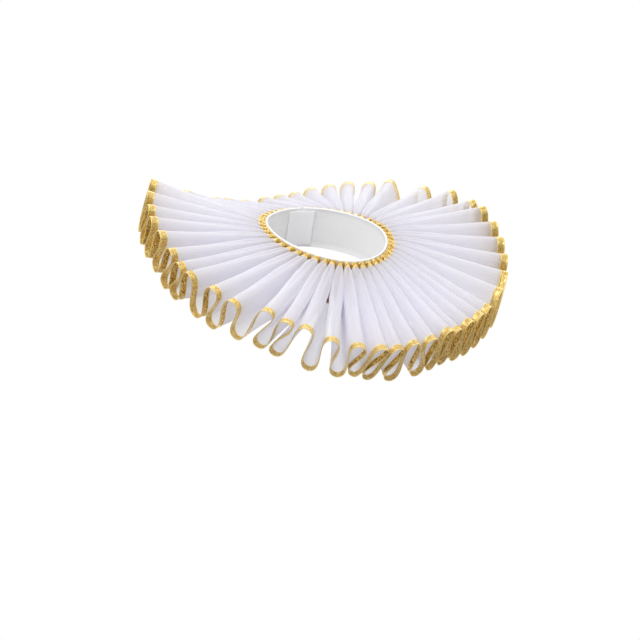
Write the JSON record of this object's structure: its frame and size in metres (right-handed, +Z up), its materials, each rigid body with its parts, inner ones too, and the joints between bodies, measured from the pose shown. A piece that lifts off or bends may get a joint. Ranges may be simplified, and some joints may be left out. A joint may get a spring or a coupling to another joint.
{
  "type": "ruff collar",
  "caption": "Figure-eight ruff collar of stiff sheer organza, gold ribbon along both edges, gathered into tall folds on a plain neckband that closes at the back.",
  "frame": {"origin": "middle of the neck opening, halfway up the neckband, where the wearer's neck holds the collar", "axes": "+Z up as worn, -Y the way the wearer faces, +X towards the wearer's left"},
  "size_m": [0.411, 0.401, 0.208],
  "materials": {
    "organza": "stiff sheer white organza, crisp, faint sheen",
    "gold_ribbon": "woven metallic gold ribbon with bright selvedges",
    "satin_tape": "white satin tape",
    "hook_and_loop": "white hook-and-loop tape"
  },
  "bodies": {
    "root": {"organza_ruffle": "organza", "neck_ribbon": "gold_ribbon", "rim_ribbon": "gold_ribbon", "neckband": "satin_tape", "back_tab": "hook_and_loop"}
  },
  "joints": []
}
